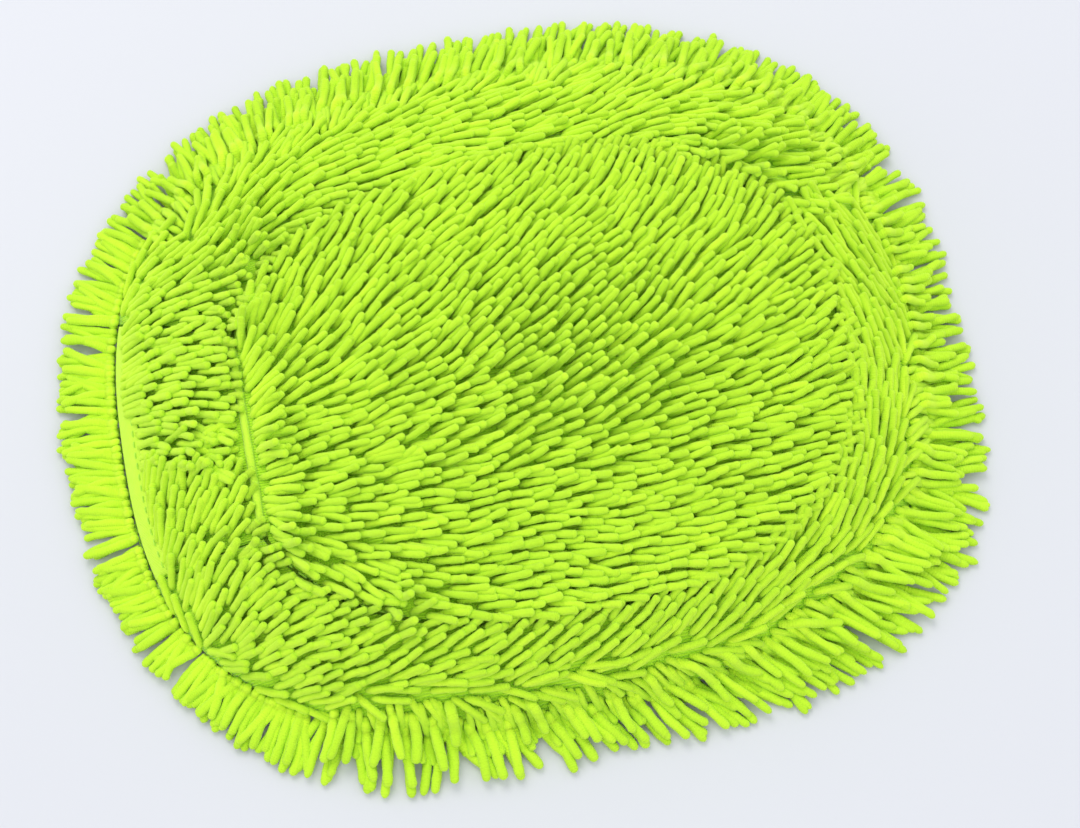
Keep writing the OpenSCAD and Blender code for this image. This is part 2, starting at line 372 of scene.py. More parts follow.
def lay(root, nap, rng, length, rise, lie, ease=0.16, bend=0.09, wide=1.0, taper=0.0, above=0.0,
        under=0.0):
    """Noodles from roots at x and y that follow the cloth or the table under them.
    nap is their direction in plan. rise and lie are their angles from the ground in degrees, at
    the root and further on, and ease says how soon they lie down. above is the roots' height, and
    under the thickness of other noodles that they rest on."""
    count = len(root)
    own = NOODLE_R * wide * rng.normal(1, 0.045, count)
    rise, lie = (np.radians(np.broadcast_to(v, count)) for v in (rise, lie))
    swing, speed = rng.normal(0, bend, count), rng.uniform(3, 7, count)
    wave = rng.uniform(-1, 1, count) * bend
    facing = np.arctan2(nap[:, 1], nap[:, 0])
    spot = np.array(root)
    height = ground(spot[:, 0], spot[:, 1]) + above - 0.3 * MM
    line = [np.column_stack([spot, height])]
    for before, at in zip(NOODLE_AT, NOODLE_AT[1:]):
        turn = facing + swing * at + wave * np.sin(at * speed)
        ahead = np.column_stack([np.cos(turn), np.sin(turn)])
        near, far = spot - ahead * 1.5 * MM, spot + ahead * 1.5 * MM
        slope = np.arctan((ground(far[:, 0], far[:, 1]) - ground(near[:, 0], near[:, 1])) / (3 * MM))
        tilt = slope + (lie + (rise - lie) * math.exp(-at / ease)) * np.cos(slope) ** 2
        step = length * (at - before)
        spot = spot + ahead * (np.cos(tilt) * step)[:, None]
        height = height + np.sin(tilt) * step
        lowest = ground(spot[:, 0], spot[:, 1]) + 1.12 * own * smooth(at, 0, 0.15)
        lowest = lowest + under * smooth(at, 0.1, 0.4)
        height = np.maximum(height, lowest)
        line.append(np.column_stack([spot, height]))
    lumps = 0.06 * np.sin(NOODLE_AT * rng.uniform(14, 26, (count, 1)) + rng.uniform(0, 6, (count, 1)))
    lumps = lumps + rng.normal(0, 0.03, (count, len(NOODLE_AT)))
    radii = own[:, None] * NOODLE_WIDE * (1 + lumps) * (1 - taper * NOODLE_AT ** 2)
    side = np.column_stack([-nap[:, 1], nap[:, 0], np.zeros(count)])
    strands = dict(lines=np.stack(line, axis=1), radii=radii, side=side,
                   tone=np.clip(rng.normal(0.5, 0.2, count), 0, 1))
    hide(strands["lines"][:, 1:, :2].reshape(-1, 2))
    return strands


def grow(name, body, node, *bundles):
    """One object of all the noodles in the given bundles."""
    lines, radii, side, tone = (
        np.concatenate([b[key] for b in bundles]) for key in ("lines", "radii", "side", "tone"))
    finish_piece(tubes(name, lines, radii, side, tone), body, "chenille_noodles", CHENILLE, node)


# What the noodles hide so far, in cells of 1 mm.
HIDDEN = np.zeros((400, 340), bool)


def cells(plan):
    return np.round(plan / MM).astype(int) + np.array(HIDDEN.shape) // 2


def hide(plan):
    """Marks what noodles that pass over the given points hide."""
    at = cells(plan)
    for i in (-1, 0, 1):
        for j in (-1, 0, 1):
            HIDDEN[at[:, 0] + i, at[:, 1] + j] = True


def bare(roots, nap, rng):
    """Picks roots where the cloth shows, until none is left bare."""
    picked = []
    reach = np.arange(0, 0.75, 0.07) * NOODLE_L
    for i in rng.permutation(len(roots)):
        cell = cells(roots[i])
        if not HIDDEN[cell[0], cell[1]]:
            picked.append(i)
            hide(roots[i] + reach[:, None] * nap[i])
    return np.array(picked, int)


def settle(place, at, keep, rounds=70):
    """Moves roots apart until they stand in even rows along the nap.
    place gives points, two slopes, normals and the nap; keep holds the roots inside their panel."""
    for _ in range(rounds):
        points, by_first, by_second, normal, nap = place(at)
        side = np.cross(normal, nap)
        apart = points[None] - points[:, None]
        forward = (apart * nap[:, None]).sum(-1) / ROW
        sideways = (apart * side[:, None]).sum(-1) / PITCH
        upward = (apart * normal[:, None]).sum(-1) / ROW
        away = np.sqrt(forward ** 2 + sideways ** 2 + upward ** 2) + 1e-9
        push = np.clip(1.15 - away, 0, None) / away
        np.fill_diagonal(push, 0)
        ahead = -(push * forward).sum(1) * ROW
        across = -(push * sideways).sum(1) * PITCH
        step = 0.3 * (ahead[:, None] * nap + across[:, None] * side)
        aa, ab, bb = (
            (by_first ** 2).sum(1), (by_first * by_second).sum(1), (by_second ** 2).sum(1))
        sa, sb = (step * by_first).sum(1), (step * by_second).sum(1)
        under = aa * bb - ab ** 2
        at = keep(at + np.stack([(sa * bb - sb * ab) / under, (sb * aa - sa * ab) / under], axis=1))
    return at


def wander(plan, rng, seed):
    """How far each noodle strays from the nap, in waves, by itself and in tangles, and how
    tangled it is."""
    loose = tangle(*plan.T)
    waves = math.radians(8) * ripple(*plan.T, 38 * MM, seed)
    stray = waves + rng.normal(0, math.radians(4.5), len(plan)) + loose * rng.normal(0, 0.32, len(plan))
    return stray, loose


# ---- materials ----

class Finish:
    """A material in the making, and the nodes that feed its shader."""

    def __init__(self, name, roughness=0.9, sheen=0.0, sheen_tint=(1, 1, 1), sheen_roughness=0.5):
        self.mat = bpy.data.materials.new(name)
        self.mat.use_nodes = True
        self.nodes, self.links = self.mat.node_tree.nodes, self.mat.node_tree.links
        self.shader = shader = self.nodes["Principled BSDF"]
        shader.inputs["Roughness"].default_value = roughness
        shader.inputs["Specular IOR Level"].default_value = 0.2
        shader.inputs["Sheen Weight"].default_value = sheen
        shader.inputs["Sheen Tint"].default_value = (*sheen_tint, 1)
        shader.inputs["Sheen Roughness"].default_value = sheen_roughness

    def math(self, operation, first, second=None):
        node = self.nodes.new("ShaderNodeMath")
        node.operation = operation
        for socket, value in zip(node.inputs, (first, second)):
            if isinstance(value, (int, float)):
                socket.default_value = value
            elif value is not None:
                self.links.new(value, socket)
        return node.outputs[0]

    def blend(self, *parts):
        """The sum of values, each times its weight."""
        total, *others = (self.math("MULTIPLY", value, weight) for value, weight in parts)
        for other in others:
            total = self.math("ADD", total, other)
        return total

    def ribs(self, source, waves):
        """Ribs from 0 to 1 along a value."""
        return self.math("ABSOLUTE", self.math("SINE", self.math("MULTIPLY", source, waves * math.pi)))

    def place(self):
        """Where a point is in its object, in metres."""
        return self.nodes.new("ShaderNodeTexCoord").outputs["Object"]

    def noise(self, size, detail=3.0):
        """Noise with features about as big as size."""
        node = self.nodes.new("ShaderNodeTexNoise")
        node.inputs["Scale"].default_value = 1 / size
        node.inputs["Detail"].default_value = detail
        self.links.new(self.place(), node.inputs["Vector"])
        return node.outputs["Fac"]

    def attribute(self, name):
        node = self.nodes.new("ShaderNodeAttribute")
        node.attribute_name = name
        return node.outputs["Fac"]

    def colour(self, factor, *stops):
        """The base colour, as a ramp over a value."""
        node = self.nodes.new("ShaderNodeValToRGB")
        self.links.new(factor, node.inputs["Fac"])
        ramp = node.color_ramp
        while len(ramp.elements) < len(stops):
            ramp.elements.new(0.5)
        for element, (position, colour) in zip(ramp.elements, stops):
            element.position = position
            element.color = (*colour, 1)
        self.links.new(node.outputs["Color"], self.shader.inputs["Base Color"])

    def bump(self, height, depth):
        node = self.nodes.new("ShaderNodeBump")
        node.inputs["Distance"].default_value = depth
        node.inputs["Strength"].default_value = 1.0
        self.links.new(height, node.inputs["Height"])
        self.links.new(node.outputs["Normal"], self.shader.inputs["Normal"])


def chenille():
    """Soft microfibre noodles: each its own tone at random, with painted light that makes each brighter and
    yellower towards its root, standing in for light scattered through the pile into its gaps, and with ribs
    and fuzz.
    """
    made = Finish("chenille", 0.95, 0.5, (0.85, 1.0, 0.25), 0.6)
    tone, along = made.attribute("tone"), made.attribute("along")
    # painted light: 1 - along grows towards the root, so the root end of each noodle is coloured brighter,
    # as if light scattered into the gaps of the pile
    depth = made.math("SUBTRACT", 1, along)
    shade = made.blend((tone, 0.45), (depth, 0.4), (made.noise(0.9 * MM, 4), 0.15))
    # the 0.0 stop is the tip colour; the bright, yellower 1.0 stop is the painted light at the roots
    made.colour(shade, (0.0, (0.400, 0.680, 0.015)), (0.4, (0.500, 0.800, 0.024)),
                (1.0, (0.710, 0.980, 0.034)))
    made.bump(made.blend((made.ribs(along, 24), 0.35), (made.noise(0.45 * MM), 0.65)), 0.3 * MM)
    return made.mat


def woven(name, dark, light, thread, roughness=0.9):
    """Cloth with crossed threads of the given spacing."""
    made = Finish(name, roughness, 0.2)
    split = made.nodes.new("ShaderNodeSeparateXYZ")
    made.links.new(made.place(), split.inputs["Vector"])
    warp, weft, rise = (made.ribs(split.outputs[axis], 1 / thread) for axis in "XYZ")
    weave = made.math("MULTIPLY", made.math("MAXIMUM", warp, rise), weft)
    made.colour(made.blend((weave, 0.5), (made.noise(6 * thread), 0.6)), (0.1, dark), (0.9, light))
    made.bump(weave, 0.3 * thread)
    return made.mat


def spun_thread():
    made = Finish("spun_thread", 0.6, 0.2)
    twist = made.ribs(made.attribute("along"), 7)
    shade = made.blend((twist, 0.4), (made.noise(0.5 * MM, 2), 0.6))
    made.colour(shade, (0.1, (0.34, 0.66, 0.03)), (0.9, (0.55, 0.88, 0.08)))
    made.bump(twist, 0.08 * MM)
    return made.mat


def open_foam():
    made = Finish("open_foam", 0.95)
    pores = made.nodes.new("ShaderNodeTexVoronoi")
    pores.inputs["Scale"].default_value = 1 / (1.2 * MM)
    made.links.new(made.place(), pores.inputs["Vector"])
    away = pores.outputs["Distance"]
    made.colour(away, (0.1, (0.50, 0.51, 0.47)), (0.7, (0.78, 0.79, 0.74)))
    made.bump(away, 0.4 * MM)
    return made.mat


CHENILLE = chenille()
BACKING = woven("chenille_backing", (0.34, 0.68, 0.012), (0.56, 0.90, 0.030), 0.9 * MM)
FOLDED = woven("folded_cloth", (0.52, 0.84, 0.030), (0.68, 0.95, 0.060), 0.5 * MM)
KNIT = woven("plain_knit", (0.30, 0.58, 0.020), (0.47, 0.80, 0.045), 1.1 * MM)
TAPE = woven("binding_tape", (0.32, 0.62, 0.020), (0.50, 0.84, 0.050), 0.5 * MM)
LINING = woven("lining_cloth", (0.46, 0.60, 0.26), (0.66, 0.80, 0.42), 0.4 * MM, 0.75)
THREAD = spun_thread()
FOAM = open_foam()


def finish_piece(obj, body, slot, mat, *nodes):
    """Gives a piece its material and body, and hides the CAD nodes that it stands for."""
    obj.data.materials.append(mat)
    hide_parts(*nodes)
    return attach(obj, body)


def tape(name, node, sections, wrap=False, body="mitt_body", mat=TAPE):
    """Binding tape with soft edges."""
    obj = belt(name, sections, wrap)
    bevel = obj.modifiers.new("soft edge", "BEVEL")
    bevel.width = 0.15 * MM
    bevel.segments = 2
    bevel.limit_method = "ANGLE"
    bevel.angle_limit = math.radians(40)
    return finish_piece(obj, body, "binding_tape", mat, node)


# ---- the foam pad and the face ----

def puff(obj, pressure, limit, frames=20):
    """Inflates a closed mesh with a cloth simulation. No point moves further than limit."""
    mesh = obj.data
    before = np.array([v.co for v in mesh.vertices])
    cloth = obj.modifiers.new("puff", "CLOTH")
    cloth.settings.use_pressure = True
    cloth.settings.uniform_pressure_force = pressure
    cloth.settings.effector_weights.gravity = 0
    cloth.settings.quality = 5
    cloth.point_cache.frame_end = frames
    scene = bpy.context.scene
    for frame_number in range(1, frames + 1):
        scene.frame_set(frame_number)
    shown = obj.evaluated_get(bpy.context.evaluated_depsgraph_get())
    after = np.array([v.co for v in shown.data.vertices])
    obj.modifiers.remove(cloth)
    scene.frame_set(1)
    move = after - before
    far = np.linalg.norm(move, axis=1, keepdims=True)
    move *= np.minimum(1, limit / np.maximum(far, 1e-9))
    mesh.vertices.foreach_set("co", (before + move).ravel())
    mesh.update()


def face_share(x, y):
    """How far out a point is on the face: 0 in its middle and 1 at its seam."""
    x, y = x - SLUMP[0], y - SLUMP[1]
    return np.hypot(x, y) / np.linalg.norm(face_line(np.arctan2(y, x)) - SLUMP, axis=-1)


def face_height(x, y):
    """Height of the face cloth's inner side in the CAD model."""
    return SEAM_Z + CROWN * (1 - np.clip(face_share(x, y), 0, 1) ** 2)


def foam_core():
    """The foam pad, a little smaller than its CAD solid and puffed up by a simulation."""
    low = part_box("foam_pad")[0].z + 0.3 * MM
    shrink = 1.3 * MM

    def top(x, y):
        uneven = 0.7 * MM * ripple(x, y, 46 * MM, 5)
        return face_height(x, y) - shrink + uneven

    shares = [0.2, 0.4, 0.6, 0.75, 0.87, 0.93]
    core = disc("foam_core", face_line, shares, top, lambda x, y: low + 0 * x, 120)
    remesh = core.modifiers.new("remesh", "REMESH")
    remesh.mode = "VOXEL"
    remesh.voxel_size = 4.5 * MM
    shown = core.evaluated_get(bpy.context.evaluated_depsgraph_get())
    mesh = bpy.data.meshes.new_from_object(shown)
    core.modifiers.remove(remesh)
    core.data = mesh
    puff(core, 4, 1.6 * MM)
    divide = core.modifiers.new("smooth", "SUBSURF")
    divide.levels = divide.render_levels = 1
    mesh.shade_smooth()
    return core


def heights_over(obj, fallback):
    """A function that gives the height of an object's upper side at x and y."""
    shown = obj.evaluated_get(bpy.context.evaluated_depsgraph_get())
    mesh = shown.to_mesh()
    corners, faces = [v.co.copy() for v in mesh.vertices], [p.vertices[:] for p in mesh.polygons]
    tree = BVHTree.FromPolygons(corners, faces)
    shown.to_mesh_clear()

    def height(x, y):
        plain = fallback(x, y)
        out = np.array(plain, float)
        for i, (a, b) in enumerate(zip(np.ravel(x), np.ravel(y))):
            hit = tree.ray_cast(Vector((a, b, 0.1)), Vector((0, 0, -1)))[0]
            if hit is not None and abs(hit.z - plain.ravel()[i]) < 4 * MM:
                out.ravel()[i] = hit.z
        return out
    return height


core = finish_piece(foam_core(), "mitt_body", "foam", FOAM, "foam_pad")
core_top = heights_over(core, lambda x, y: face_height(x, y) - 0.5 * MM)


def cloth_under(x, y):
    """Inner side of the face cloth: it lies on the foam and is drawn down to the seam."""
    on_foam = np.maximum(core_top(x, y) + 0.3 * MM, face_height(x, y) - 1.2 * MM)
    return mix(on_foam, face_height(x, y), smooth(face_share(x, y), 0.82, 0.93))


FACE_SHARES = [0.06, 0.14, 0.24, 0.34, 0.44, 0.54, 0.63, 0.71, 0.78, 0.84, 0.89, 0.93, 0.96, 0.98, 0.994]
face_cloth = disc(
    "face_cloth", face_line, FACE_SHARES, lambda x, y: cloth_under(x, y) + CLOTH_T, cloth_under)
finish_piece(face_cloth, "mitt_body", "chenille_backing", BACKING, "face_panel")
FACE_FLAT = (2 * FACE_A, 2 * FACE_B)
FACE_AREA = 0.83 * FACE_FLAT[0] * FACE_FLAT[1]

lining_low, lining_high = (c.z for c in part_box("palm_lining"))


def lining_sag(x, y):
    return 0.35 * MM * (ripple(x, y, 40 * MM, 8) - 1)


lining = disc(
    "lining_cloth", lambda angle, share: face_line(angle, 1.055 * share),
    [0.1, 0.25, 0.4, 0.55, 0.7, 0.82, 0.92, 0.98, 1.0],
    lambda x, y: lining_high + lining_sag(x, y), lambda x, y: lining_low + lining_sag(x, y))
finish_piece(lining, "mitt_body", "lining", LINING, "palm_lining")


# ---- the base: back panel, hem tape, mouth facing and their thread ----

back_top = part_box("back_panel")[1].z


def back_upper(x, y):
    return back_top - 0.12 * MM + 0.12 * MM * ripple(x, y, 22 * MM, 3)


back = disc("back_cloth", lambda angle, share: share * hem_line(angle, -0.3 * MM),
            [0.12, 0.3, 0.5, 0.68, 0.82, 0.92, 0.97, 1.0], back_upper, lambda x, y: 0.1 * MM + 0 * x)
finish_piece(back, "mitt_body", "plain_knit", KNIT, "back_panel")

FULL_TURN = np.arange(360) * 2 * math.pi / 360
TAPE_T = 0.6 * MM
GAP = 0.15 * MM
LAP = 8 * MM


def hem_section(angle, outline):
    return np.stack([np.column_stack([hem_line(angle, out), np.full(len(angle), z)])
                     for out, z in outline], axis=1)


tape_low = back_top + GAP
tape_top = tape_low + TAPE_T
hem_tape = tape("hem_tape", "hem_binding", hem_section(FULL_TURN, [
    (0, 0.3 * MM), (0, tape_low), (-LAP / 2, tape_low), (-LAP, tape_low),
    (-LAP, tape_top), (-LAP / 2, tape_top + 0.05 * MM), (TAPE_T, tape_top), (TAPE_T, 0.3 * MM)]), wrap=True)

mouth_angle = math.pi + np.linspace(-1, 1, 40) * (FLAP_HALF - math.radians(1.5))
mouth_low = tape_top + GAP
mouth_top = mouth_low + TAPE_T
mouth = tape("mouth_tape", "mouth_facing", hem_section(mouth_angle, [
    (-14 * MM, mouth_top), (-8 * MM, mouth_top + 0.05 * MM), (-2 * MM, mouth_top),
    (-2 * MM, mouth_low), (-8 * MM, mouth_low), (-14 * MM, mouth_low)]))


def thread_run(name, body, node, starts, ends, normal, radius, seed):
    """Short stitches from starts to ends that arch off the cloth and dip into it at their ends."""
    rng = np.random.default_rng(seed)
    count = len(starts)
    at = np.array([0, 0.04, 0.2, 0.4, 0.6, 0.8, 0.96, 1])
    wide = np.array([0, 0.7, 1, 1, 1, 1, 0.7, 0])
    arch = np.array([-1.0, -0.8, 0.1, 0.4, 0.4, 0.1, -0.8, -1.0]) * radius
    lines = starts[:, None] + (ends - starts)[:, None] * at[None, :, None]
    lines = lines + normal[:, None] * arch[None, :, None]
    lines += rng.normal(0, 0.06 * MM, (count, 1, 3))
    radii = np.broadcast_to(radius * wide, (count, len(at)))
    run = tubes(name, lines, radii, unit(np.cross(ends - starts, normal)), rng.uniform(0, 1, count))
    return finish_piece(run, body, "thread", THREAD, node)


def every(count, start=0.0, end=2 * math.pi):
    return start + (np.arange(count) + 0.5) * (end - start) / count


HEM_STITCHES = 150
STITCH_OUT = 0.35 * MM           # how far a stitch's middle line is off what it sews
stitch_at = every(HEM_STITCHES)
half_stitch = math.radians(0.75)
hem_ends = [np.column_stack([hem_line(stitch_at + k * half_stitch, TAPE_T + STITCH_OUT),
                             np.full(HEM_STITCHES, 1.3 * MM)]) for k in (-1, 1)]
hem_normal = np.column_stack([unit(hem_ends[0][:, :2]), np.zeros(HEM_STITCHES)])
hem_thread = thread_run("hem_thread", "mitt_body", "hem_stitches", *hem_ends, hem_normal, 0.3 * MM, 21)


# ---- the gusset: side band and wrist flap ----

BAND_HALF = math.pi - FLAP_HALF - FLAP_GAP / 2
FLAP_FROM = math.pi - FLAP_HALF + FLAP_GAP / 2
FLAP_TO = math.pi + FLAP_HALF - FLAP_GAP / 2


def gusset_cloth(name, start, end, steps, shares, seed):
    """Backing cloth on the gusset, a little puckered towards its seams."""
    angle, s = np.meshgrid(np.linspace(start, end, steps), shares, indexing="ij")
    place = gusset(angle, s)
    pucker = 0.3 * MM * ripple(place[..., 0], place[..., 1], 16 * MM, seed) * smooth(s, 0.6, 0.95)
    sag = 0.35 * MM * (ripple(place[..., 0], place[..., 1], 60 * MM, seed + 1) - 1) * np.sin(s * math.pi)
    fade = smooth(np.minimum(angle - start, end - angle), 0, 0.05) * smooth(1.0 - s, 0.0, 0.1)
    move = (pucker + sag) * fade
    return slab(name, off_gusset(angle, s, CLOTH_T + move), off_gusset(angle, s, move))


SLIT = math.radians(0.2)         # how far each cloth's frayed edge reaches into the slit
band_cloth = gusset_cloth(
    "band_cloth", -BAND_HALF - SLIT, BAND_HALF + SLIT, 260, np.linspace(0, 0.99, 14), 31)
finish_piece(band_cloth, "mitt_body", "chenille_backing", BACKING, "side_band")

wrist_cloth = gusset_cloth(
    "wrist_cloth", FLAP_FROM - SLIT, FLAP_TO + SLIT, 40,
    np.array([0.08, 0.16, 0.24, 0.34, 0.44, 0.54, 0.64, 0.74, 0.83, 0.90, 0.93, 0.945, 0.96, 0.975, 0.988]),
    33)
finish_piece(wrist_cloth, "wrist_flap", "chenille_backing", BACKING, "wrist_panel")


def edge_threads(name, body, node, angles, low, high, seed):
    """Overlocked edge: close loops of thread under the cloth along each of the given angles."""
    count, parts = 26, []
    for angle in angles:
        s = every(count, low, high)
        lean = 0.4 * (high - low) / count
        a = off_gusset(angle - math.radians(0.22), s - lean, -0.45 * MM)
        b = off_gusset(angle + math.radians(0.22), s + lean, -0.45 * MM)
        parts.append((a, b, -gusset_slopes(np.full(count, angle), s)[2]))
    starts, ends, normal = (np.concatenate(p) for p in zip(*parts))
    return thread_run(name, body, node, starts, ends, normal, 0.3 * MM, seed)


inset = math.radians(0.5)
edge_threads("band_end_thread", "mitt_body", "band_end_tapes",
             [-BAND_HALF + inset, BAND_HALF - inset], 0.08, 0.94, 41)
flap_threads = edge_threads("wrist_edge_thread", "wrist_flap", "wrist_side_tapes",
                            [FLAP_FROM + inset, FLAP_TO - inset], 0.28, 0.9, 43)

HEM_LAP = 0.24                   # share of the flap that its hem tape covers
flap_angle = np.linspace(FLAP_FROM, FLAP_TO, 48)
inside, outside = -GAP, CLOTH_T + GAP
hem_fold = [(HEM_LAP, inside - TAPE_T), (0.14, inside - TAPE_T), (0.05, inside - TAPE_T),
            (0.05, outside + TAPE_T), (0.14, outside + TAPE_T), (HEM_LAP, outside + TAPE_T),
            (HEM_LAP, outside), (0.065, outside), (0.065, inside), (HEM_LAP, inside)]
wrist_tape = tape("wrist_hem_tape", "wrist_hem_binding", np.stack([
    off_gusset(flap_angle, s, depth) for s, depth in hem_fold], axis=1),
    body="wrist_flap", mat=FOLDED)

flap_stitch = every(22, FLAP_FROM + math.radians(0.6), FLAP_TO - math.radians(0.6))
stitch_s = np.full(len(flap_stitch), HEM_LAP - 0.05)
stitch_depth = outside + TAPE_T + 0.2 * MM
flap_ends = [off_gusset(flap_stitch + k * math.radians(0.5), stitch_s, stitch_depth) for k in (-1, 1)]
flap_thread = thread_run("wrist_hem_thread", "wrist_flap", "wrist_hem_stitches", *flap_ends,
                         gusset_slopes(flap_stitch, stitch_s)[2], 0.25 * MM, 45)


def wrist_fold():
    """The rolled edge of the wrist panel where it is sewn to the face."""
    centre_x, centre_z = HINGE_X - 0.75 * MM, SEAM_Z + 1.3 * MM
    y = face_line(np.linspace(FLAP_FROM, FLAP_TO, 30))[:, 1]
    turn = np.arange(12) * 2 * math.pi / 12
    radius = 1.45 * MM * (1 + 0.10 * ripple(y, 0 * y, 12 * MM, 71))
    radius[[0, -1]] *= 0.8
    return belt("wrist_cloth_fold", np.stack([
        np.column_stack([centre_x + r * np.cos(turn), np.full(12, at), centre_z + r * np.sin(turn)])
        for r, at in zip(radius, y)]))


fold = finish_piece(wrist_fold(), "wrist_flap", "chenille_backing", FOLDED, "wrist_panel")


# ---- the face seam ----

seam_angle = np.linspace(-BAND_HALF - 0.03, BAND_HALF + 0.03, 300)
seam_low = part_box("face_seam_tape")[0].z


def seam_point(angle, share, z):
    return np.column_stack([face_line(angle, share), np.full(len(angle), z)])


seam_section = [
    (0.965, TAPE_T), (1.0, TAPE_T + 0.1 * MM), (1.035, TAPE_T), (1.035, 0), (1.0, 0.1 * MM), (0.965, 0)]
tape("seam_tape", "face_seam_tape", np.stack([
    seam_point(seam_angle, share, seam_low + z) for share, z in seam_section], axis=1))

seam_stitch = every(100, -BAND_HALF + 0.02, BAND_HALF - 0.02)
seam_z = SEAM_Z + CLOTH_T + STITCH_OUT
seam_ends = [seam_point(seam_stitch + k * math.radians(0.95), 0.998, seam_z) for k in (-1, 1)]
thread_run("seam_thread", "mitt_body", "face_seam_stitches", *seam_ends,
           np.tile(UP, (len(seam_stitch), 1)), 0.3 * MM, 47)


# ---- the height of the cloth that the noodles grow from ----

def gusset_cells():
    """Sum and count of the heights of the gusset's outer side over each cell."""
    angle, s = np.meshgrid(np.linspace(-math.pi, math.pi, 2400), np.linspace(0, 1, 120))
    points = off_gusset(angle, s, np.full(angle.shape, CLOTH_T)).reshape(-1, 3)
    at = cells(points[:, :2])
    total, number = np.zeros(HIDDEN.shape), np.zeros(HIDDEN.shape)
    np.add.at(total, (at[:, 0], at[:, 1]), points[:, 2])
    np.add.at(number, (at[:, 0], at[:, 1]), 1)
    return total, number


def ground_map():
    """Height of the cloth, or of the table beside it, at every cell."""
    across, along = HIDDEN.shape
    x, y = np.meshgrid(
        (np.arange(across) - across // 2) * MM, (np.arange(along) - along // 2) * MM, indexing="ij")
    total, number = gusset_cells()
    height = total / np.maximum(number, 1)
    face = face_share(x, y) < 1
    height[face] = cloth_under(x[face], y[face]) + CLOTH_T
    table = np.hypot(x, y) > np.linalg.norm(hem_line(np.arctan2(y, x)), axis=-1) + 1.2 * MM
    height[table] = 0
    known = (face | table | (number > 0)).astype(float)
    for _ in range(2):
        height, known = height * (known > 0), (known > 0).astype(float)
        around = [(np.roll(height, (i, j), (0, 1)), np.roll(known, (i, j), (0, 1)))
                  for i in (-1, 0, 1) for j in (-1, 0, 1)]
        height = sum(a for a, _ in around) / np.maximum(sum(b for _, b in around), 1)
        known = sum(b for _, b in around)
    return height


GROUND = ground_map()


def ground(x, y):
    """Height of the cloth or the table at x and y."""
    u = x / MM + HIDDEN.shape[0] // 2
    v = y / MM + HIDDEN.shape[1] // 2
    i, j = np.floor(u).astype(int), np.floor(v).astype(int)
    a, b = u - i, v - j
    low = mix(GROUND[i, j], GROUND[i + 1, j], a)
    high = mix(GROUND[i, j + 1], GROUND[i + 1, j + 1], a)
    return mix(low, high, b)


# ---- the noodles ----

def pile(plan, nap, rng, loose, stand=0.0, length=NOODLE_L, rise=60):
    """Noodles of the pile. loose ones and standing ones lie less flat."""
    count = len(plan)
    lie = LIE + rng.normal(0, 4, count) + loose * rng.uniform(8, 45, count) + stand
    return lay(plan, nap, rng, length * rng.normal(1, 0.05, count), rise + rng.normal(0, 6, count), lie,
               bend=0.08 + 0.12 * loose)


FACE_EDGE = 0.980                # share of the face up to which noodles grow


def face_roots(rng):
    """Even rows of roots on the face."""
    def keep(at):
        shrink = np.minimum(1, FACE_EDGE / np.maximum(face_share(*at.T), 1e-9))
        return SLUMP + (at - SLUMP) * shrink[:, None]

    def place(at):
        level = np.zeros(len(at))
        first, second, normal = np.tile(np.eye(3)[:, None], (1, len(at), 1))
        nap = np.column_stack([brushed(at, FACE_BRUSHED), level])
        return np.column_stack([at, level]), first, second, normal, nap

    count = int(FACE_AREA / (ROW * PITCH))
    angle = rng.uniform(0, 2 * math.pi, count)
    at = settle(place, face_line(angle, np.sqrt(rng.uniform(0, FACE_EDGE ** 2, count))), keep)
    first_row = face_line(np.linspace(FLAP_FROM - 0.10, FLAP_TO + 0.10, 38), 0.998) + [1.4 * MM, 0]
    first_row[:, 0] += rng.uniform(0, 3 * MM, len(first_row))
    return np.concatenate([at, first_row])


def face_bundle(at, rng):
    """Noodles of the face. They stand up most near its middle, and end soon after its seam."""
    stray, loose = wander(at, rng, 61)
    nap = turned(brushed(at, FACE_BRUSHED), stray)
    x, y = at.T / MM
    middle = np.exp(-((x - 12) ** 2 / 46 ** 2 + (y + 10) ** 2 / 32 ** 2))
    over = smooth(face_share(*(at + nap * NOODLE_L).T), 0.97, 1.12)
    return pile(at, nap, rng, loose, stand=27 * middle + 8 * over, length=NOODLE_L * (1 - 0.42 * over))


def gusset_nap(at, plan):
    """Direction in plan of the gusset's noodles. The lowest ones lie like the fringe, or along
    the hem where the others point away from it."""
    angle, s = at.T
    along, away = brushed(plan, BAND_BRUSHED), outward(angle)
    round_hem = np.stack([-away[:, 1], away[:, 0]], axis=-1)
    round_hem *= np.sign((round_hem * along).sum(1))[:, None]
    opposed = (along * away).sum(1) < -0.35
    reach = np.where(opposed, 0.16, 0.46 + 0.13 * ripple(*plan.T, 20 * MM, 66))
    out = smooth(reach - s, 0.0, 0.24) * (np.abs(np.abs(angle) - math.pi) > FLAP_HALF)
    return unit(mix(along, np.where(opposed[:, None], round_hem + 0.2 * away, away), out[:, None]))


def gusset_roots(start, end, low, high, rng):
    """Even rows of roots on the gusset, as angles and shares."""
    def keep(at):
        return np.column_stack([np.clip(at[:, 0], start, end), np.clip(at[:, 1], low, high)])

    def place(at):
        angle, s = at[:, 0], at[:, 1]
        point = gusset(angle, s)
        first, second, normal = gusset_slopes(angle, s)
        return point, first, second, normal, on_surface(gusset_nap(at, point[:, :2]), normal)

    angle, s = rng.uniform(start, end, 6000), rng.uniform(low, high, 6000)
    _, first, second, _, _ = place(np.column_stack([angle, s]))
    patch = np.linalg.norm(np.cross(first, second), axis=1)
    count = int(patch.mean() * (end - start) * (high - low) / (ROW * PITCH))
    chosen = rng.choice(6000, count, replace=False, p=patch / patch.sum())
    return settle(place, np.column_stack([angle, s])[chosen], keep)


